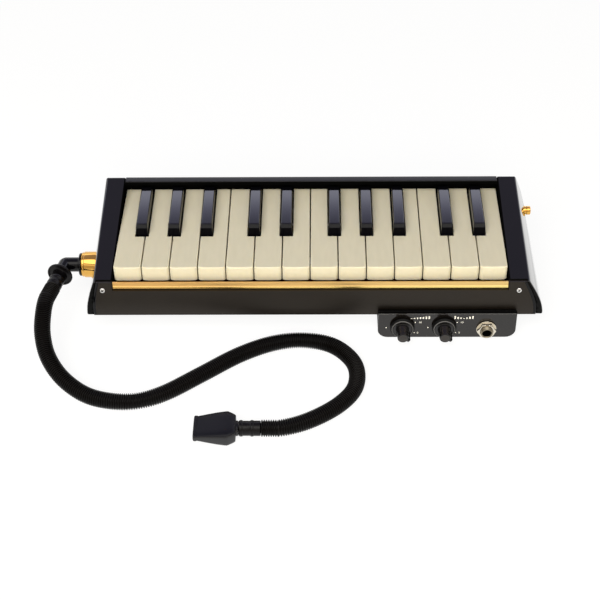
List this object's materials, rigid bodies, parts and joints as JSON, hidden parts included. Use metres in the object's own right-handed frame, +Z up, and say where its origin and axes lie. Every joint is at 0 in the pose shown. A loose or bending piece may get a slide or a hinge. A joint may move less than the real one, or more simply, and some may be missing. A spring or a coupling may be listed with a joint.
{
  "type": "bass melodica",
  "caption": "Free-reed wind keyboard with tilting keys, a ribbed blowing hose with mouthpiece, a drain valve and a pickup panel with two knobs and a jack.",
  "frame": {"origin": "middle of the instrument's footprint, without its hose, at the level of the table", "axes": "+X along the keyboard from the low notes to the high notes, +Y from the player's side to the rear, +Z up"},
  "size_m": [0.3612, 0.2249, 0.065],
  "materials": {
    "ivory_keys": "ivory plastic, satin gloss",
    "black_keys": "polished black plastic",
    "shell": "moulded black plastic, satin",
    "inner_plastic": "grey moulded plastic",
    "brass_trim": "polished",
    "reed_brass": "brushed",
    "steel": "bright",
    "nickel": "nickel plated",
    "felt": "pressed felt",
    "rubber": "black rubber",
    "panel": "satin dark grey",
    "knobs": "black, satin",
    "hose_black": "flexible black plastic",
    "elbow_black": "black, semi-gloss",
    "board": "green circuit board"
  },
  "bodies": {
    "housing": {"left_cheek": "shell", "right_cheek": "shell", "rear_rail": "shell", "front_panel": "shell", "lower_case": "shell", "control_box": "shell", "keybed": "inner_plastic", "valve_block": "inner_plastic", "wind_chamber": "inner_plastic", "front_trim": "brass_trim", "mouth_socket": "brass_trim", "low_reed_plate": "reed_brass", "high_reed_plate": "reed_brass", "key_pivot_rod": "steel", "key_springs": "steel", "drain_spring": "steel", "volume_pot": "steel", "balance_pot": "steel", "output_jack": "nickel", "jack_nut": "nickel", "stop_felt": "felt", "chamber_gasket": "rubber", "front_foot": "rubber", "rear_foot": "rubber", "control_panel": "panel", "pickup_board": "board"},
    "white_key_F2": {"white_key_F2": "ivory_keys"},
    "black_key_Fs2": {"black_key_Fs2": "black_keys"},
    "white_key_G2": {"white_key_G2": "ivory_keys"},
    "black_key_Gs2": {"black_key_Gs2": "black_keys"},
    "white_key_A2": {"white_key_A2": "ivory_keys"},
    "black_key_As2": {"black_key_As2": "black_keys"},
    "white_key_B2": {"white_key_B2": "ivory_keys"},
    "white_key_C3": {"white_key_C3": "ivory_keys"},
    "black_key_Cs3": {"black_key_Cs3": "black_keys"},
    "white_key_D3": {"white_key_D3": "ivory_keys"},
    "black_key_Ds3": {"black_key_Ds3": "black_keys"},
    "white_key_E3": {"white_key_E3": "ivory_keys"},
    "white_key_F3": {"white_key_F3": "ivory_keys"},
    "black_key_Fs3": {"black_key_Fs3": "black_keys"},
    "white_key_G3": {"white_key_G3": "ivory_keys"},
    "black_key_Gs3": {"black_key_Gs3": "black_keys"},
    "white_key_A3": {"white_key_A3": "ivory_keys"},
    "black_key_As3": {"black_key_As3": "black_keys"},
    "white_key_B3": {"white_key_B3": "ivory_keys"},
    "white_key_C4": {"white_key_C4": "ivory_keys"},
    "black_key_Cs4": {"black_key_Cs4": "black_keys"},
    "white_key_D4": {"white_key_D4": "ivory_keys"},
    "black_key_Ds4": {"black_key_Ds4": "black_keys"},
    "white_key_E4": {"white_key_E4": "ivory_keys"},
    "volume_knob": {"volume_knob": "knobs", "volume_shaft": "steel"},
    "balance_knob": {"balance_knob": "knobs", "balance_shaft": "steel"},
    "drain_button": {"drain_button": "brass_trim"},
    "hose_set": {"elbow": "elbow_black", "hose_cuff": "hose_black", "hose": "hose_black", "mouth_cuff": "hose_black", "mouthpiece": "hose_black"}
  },
  "joints": [
    {"name": "white_key_F2_dip", "type": "hinge", "parent": "housing", "child": "white_key_F2", "pos_m": [-0.13315, 0.02505, 0.0435], "axis": [1, 0, 0], "range_deg": [0, 4.3], "stiffness_Nm_per_rad": 0.12, "springref_deg": -14.32, "deforming": ["key_springs"]},
    {"name": "black_key_Fs2_dip", "type": "hinge", "parent": "housing", "child": "black_key_Fs2", "pos_m": [-0.1221, 0.02505, 0.0435], "axis": [1, 0, 0], "range_deg": [0, 4.3], "stiffness_Nm_per_rad": 0.12, "springref_deg": -14.32, "deforming": ["key_springs"]},
    {"name": "white_key_G2_dip", "type": "hinge", "parent": "housing", "child": "white_key_G2", "pos_m": [-0.1104, 0.02505, 0.0435], "axis": [1, 0, 0], "range_deg": [0, 4.3], "stiffness_Nm_per_rad": 0.12, "springref_deg": -14.32, "deforming": ["key_springs"]},
    {"name": "black_key_Gs2_dip", "type": "hinge", "parent": "housing", "child": "black_key_Gs2", "pos_m": [-0.0987, 0.02505, 0.0435], "axis": [1, 0, 0], "range_deg": [0, 4.3], "stiffness_Nm_per_rad": 0.12, "springref_deg": -14.32, "deforming": ["key_springs"]},
    {"name": "white_key_A2_dip", "type": "hinge", "parent": "housing", "child": "white_key_A2", "pos_m": [-0.08695, 0.02505, 0.0435], "axis": [1, 0, 0], "range_deg": [0, 4.3], "stiffness_Nm_per_rad": 0.12, "springref_deg": -14.32, "deforming": ["key_springs"]},
    {"name": "black_key_As2_dip", "type": "hinge", "parent": "housing", "child": "black_key_As2", "pos_m": [-0.0751, 0.02505, 0.0435], "axis": [1, 0, 0], "range_deg": [0, 4.3], "stiffness_Nm_per_rad": 0.12, "springref_deg": -14.32, "deforming": ["key_springs"]},
    {"name": "white_key_B2_dip", "type": "hinge", "parent": "housing", "child": "white_key_B2", "pos_m": [-0.06515, 0.02505, 0.0435], "axis": [1, 0, 0], "range_deg": [0, 4.3], "stiffness_Nm_per_rad": 0.12, "springref_deg": -14.32, "deforming": ["key_springs"]},
    {"name": "white_key_C3_dip", "type": "hinge", "parent": "housing", "child": "white_key_C3", "pos_m": [-0.05235, 0.02505, 0.0435], "axis": [1, 0, 0], "range_deg": [0, 4.3], "stiffness_Nm_per_rad": 0.12, "springref_deg": -14.32, "deforming": ["key_springs"]},
    {"name": "black_key_Cs3_dip", "type": "hinge", "parent": "housing", "child": "black_key_Cs3", "pos_m": [-0.0405, 0.02505, 0.0435], "axis": [1, 0, 0], "range_deg": [0, 4.3], "stiffness_Nm_per_rad": 0.12, "springref_deg": -14.32, "deforming": ["key_springs"]},
    {"name": "white_key_D3_dip", "type": "hinge", "parent": "housing", "child": "white_key_D3", "pos_m": [-0.0288, 0.02505, 0.0435], "axis": [1, 0, 0], "range_deg": [0, 4.3], "stiffness_Nm_per_rad": 0.12, "springref_deg": -14.32, "deforming": ["key_springs"]},
    {"name": "black_key_Ds3_dip", "type": "hinge", "parent": "housing", "child": "black_key_Ds3", "pos_m": [-0.0171, 0.02505, 0.0435], "axis": [1, 0, 0], "range_deg": [0, 4.3], "stiffness_Nm_per_rad": 0.12, "springref_deg": -14.32, "deforming": ["key_springs"]},
    {"name": "white_key_E3_dip", "type": "hinge", "parent": "housing", "child": "white_key_E3", "pos_m": [-0.00615, 0.02505, 0.0435], "axis": [1, 0, 0], "range_deg": [0, 4.3], "stiffness_Nm_per_rad": 0.12, "springref_deg": -14.32, "deforming": ["key_springs"]},
    {"name": "white_key_F3_dip", "type": "hinge", "parent": "housing", "child": "white_key_F3", "pos_m": [0.00685, 0.02505, 0.0435], "axis": [1, 0, 0], "range_deg": [0, 4.3], "stiffness_Nm_per_rad": 0.12, "springref_deg": -14.32, "deforming": ["key_springs"]},
    {"name": "black_key_Fs3_dip", "type": "hinge", "parent": "housing", "child": "black_key_Fs3", "pos_m": [0.0179, 0.02505, 0.0435], "axis": [1, 0, 0], "range_deg": [0, 4.3], "stiffness_Nm_per_rad": 0.12, "springref_deg": -14.32, "deforming": ["key_springs"]},
    {"name": "white_key_G3_dip", "type": "hinge", "parent": "housing", "child": "white_key_G3", "pos_m": [0.0296, 0.02505, 0.0435], "axis": [1, 0, 0], "range_deg": [0, 4.3], "stiffness_Nm_per_rad": 0.12, "springref_deg": -14.32, "deforming": ["key_springs"]},
    {"name": "black_key_Gs3_dip", "type": "hinge", "parent": "housing", "child": "black_key_Gs3", "pos_m": [0.0413, 0.02505, 0.0435], "axis": [1, 0, 0], "range_deg": [0, 4.3], "stiffness_Nm_per_rad": 0.12, "springref_deg": -14.32, "deforming": ["key_springs"]},
    {"name": "white_key_A3_dip", "type": "hinge", "parent": "housing", "child": "white_key_A3", "pos_m": [0.05305, 0.02505, 0.0435], "axis": [1, 0, 0], "range_deg": [0, 4.3], "stiffness_Nm_per_rad": 0.12, "springref_deg": -14.32, "deforming": ["key_springs"]},
    {"name": "black_key_As3_dip", "type": "hinge", "parent": "housing", "child": "black_key_As3", "pos_m": [0.0649, 0.02505, 0.0435], "axis": [1, 0, 0], "range_deg": [0, 4.3], "stiffness_Nm_per_rad": 0.12, "springref_deg": -14.32, "deforming": ["key_springs"]},
    {"name": "white_key_B3_dip", "type": "hinge", "parent": "housing", "child": "white_key_B3", "pos_m": [0.07485, 0.02505, 0.0435], "axis": [1, 0, 0], "range_deg": [0, 4.3], "stiffness_Nm_per_rad": 0.12, "springref_deg": -14.32, "deforming": ["key_springs"]},
    {"name": "white_key_C4_dip", "type": "hinge", "parent": "housing", "child": "white_key_C4", "pos_m": [0.08765, 0.02505, 0.0435], "axis": [1, 0, 0], "range_deg": [0, 4.3], "stiffness_Nm_per_rad": 0.12, "springref_deg": -14.32, "deforming": ["key_springs"]},
    {"name": "black_key_Cs4_dip", "type": "hinge", "parent": "housing", "child": "black_key_Cs4", "pos_m": [0.0995, 0.02505, 0.0435], "axis": [1, 0, 0], "range_deg": [0, 4.3], "stiffness_Nm_per_rad": 0.12, "springref_deg": -14.32, "deforming": ["key_springs"]},
    {"name": "white_key_D4_dip", "type": "hinge", "parent": "housing", "child": "white_key_D4", "pos_m": [0.1112, 0.02505, 0.0435], "axis": [1, 0, 0], "range_deg": [0, 4.3], "stiffness_Nm_per_rad": 0.12, "springref_deg": -14.32, "deforming": ["key_springs"]},
    {"name": "black_key_Ds4_dip", "type": "hinge", "parent": "housing", "child": "black_key_Ds4", "pos_m": [0.1229, 0.02505, 0.0435], "axis": [1, 0, 0], "range_deg": [0, 4.3], "stiffness_Nm_per_rad": 0.12, "springref_deg": -14.32, "deforming": ["key_springs"]},
    {"name": "white_key_E4_dip", "type": "hinge", "parent": "housing", "child": "white_key_E4", "pos_m": [0.13385, 0.02505, 0.0435], "axis": [1, 0, 0], "range_deg": [0, 4.3], "stiffness_Nm_per_rad": 0.12, "springref_deg": -14.32, "deforming": ["key_springs"]},
    {"name": "volume_turn", "type": "hinge", "parent": "housing", "child": "volume_knob", "pos_m": [0.0662, -0.05195, 0.0116], "axis": [0, 1, 0], "range_deg": [-270, 30]},
    {"name": "balance_turn", "type": "hinge", "parent": "housing", "child": "balance_knob", "pos_m": [0.0961, -0.05195, 0.0116], "axis": [0, 1, 0], "range_deg": [-270, 30]},
    {"name": "drain_press", "type": "slide", "parent": "housing", "child": "drain_button", "axis": [-1, 0, 0], "range_m": [0, 0.002], "stiffness_N_per_m": 400, "springref_m": -0.0025, "deforming": ["drain_spring"]},
    {"name": "hose_pull_off", "type": "slide", "parent": "housing", "child": "hose_set", "axis": [-1, 0, 0], "range_m": [0, 0.016]}
  ]
}
